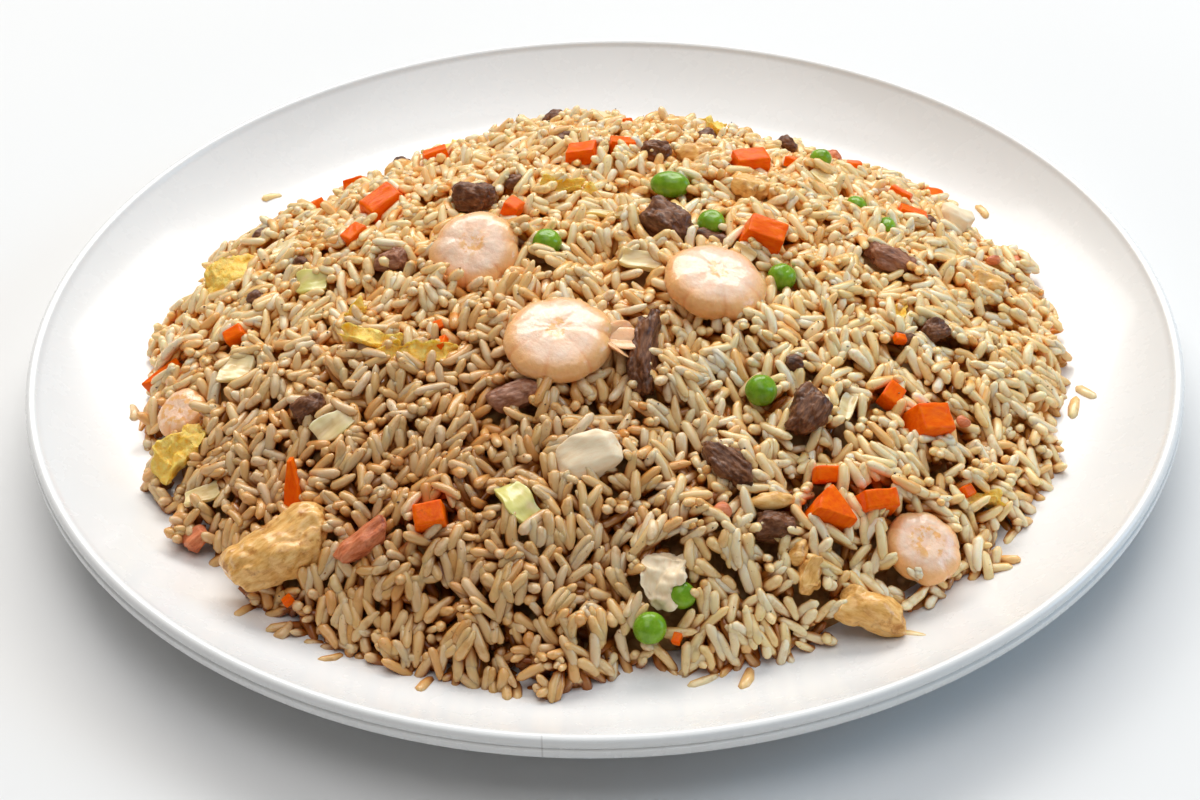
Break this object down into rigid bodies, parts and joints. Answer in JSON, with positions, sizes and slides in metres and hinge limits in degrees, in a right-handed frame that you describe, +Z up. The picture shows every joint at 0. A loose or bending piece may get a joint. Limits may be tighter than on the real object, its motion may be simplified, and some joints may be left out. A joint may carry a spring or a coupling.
{
  "type": "fried rice plate",
  "caption": "Round white glazed plate heaped with fried rice, with prawns, diced carrot, peas, beef, chicken, ham, egg and cabbage set in the rice.",
  "frame": {"origin": "middle of the plate's foot ring, on the surface the plate stands on", "axes": "+Z up out of the plate; -Y toward the diner, the side of the heap with the large chicken piece at its left; +X to the diner's right"},
  "size_m": [0.305, 0.305, 0.0574],
  "materials": {
    "glaze": "polished white glaze",
    "rice": "satin, cooked rice grains with soy sauce",
    "carrot": "satin, cooked carrot",
    "pea": "satin, cooked green pea",
    "prawn": "satin, cooked peeled prawn",
    "beef": "satin, fried beef",
    "chicken": "satin, fried chicken",
    "ham": "satin, fried ham",
    "egg": "satin, fried egg sheet",
    "cabbage": "satin, cooked cabbage and onion"
  },
  "bodies": {
    "root": {"plate": "glaze", "rice_heap": "rice", "beef_01": "beef", "beef_02": "beef", "beef_03": "beef", "beef_04": "beef", "beef_05": "beef", "beef_06": "beef", "beef_07": "beef", "beef_08": "beef", "beef_09": "beef", "beef_10": "beef", "beef_11": "beef", "beef_12": "beef", "cabbage_01": "cabbage", "cabbage_02": "cabbage", "cabbage_03": "cabbage", "cabbage_04": "cabbage", "cabbage_05": "cabbage", "carrot_01": "carrot", "carrot_02": "carrot", "carrot_03": "carrot", "carrot_04": "carrot", "carrot_05": "carrot", "carrot_06": "carrot", "carrot_07": "carrot", "carrot_08": "carrot", "carrot_09": "carrot", "carrot_10": "carrot", "carrot_11": "carrot", "carrot_12": "carrot", "carrot_13": "carrot", "carrot_14": "carrot", "carrot_15": "carrot", "chicken_01": "chicken", "chicken_02": "chicken", "chicken_03": "chicken", "chicken_04": "chicken", "chicken_05": "chicken", "chicken_06": "chicken", "chicken_07": "chicken", "chicken_08": "chicken", "egg_01": "egg", "egg_02": "egg", "egg_03": "egg", "egg_04": "egg", "ham_01": "ham", "ham_02": "ham", "pea_01": "pea", "pea_02": "pea", "pea_03": "pea", "pea_04": "pea", "pea_05": "pea", "pea_06": "pea", "prawn_01": "prawn", "prawn_02": "prawn", "prawn_03": "prawn", "prawn_04": "prawn", "prawn_05": "prawn"}
  },
  "joints": []
}
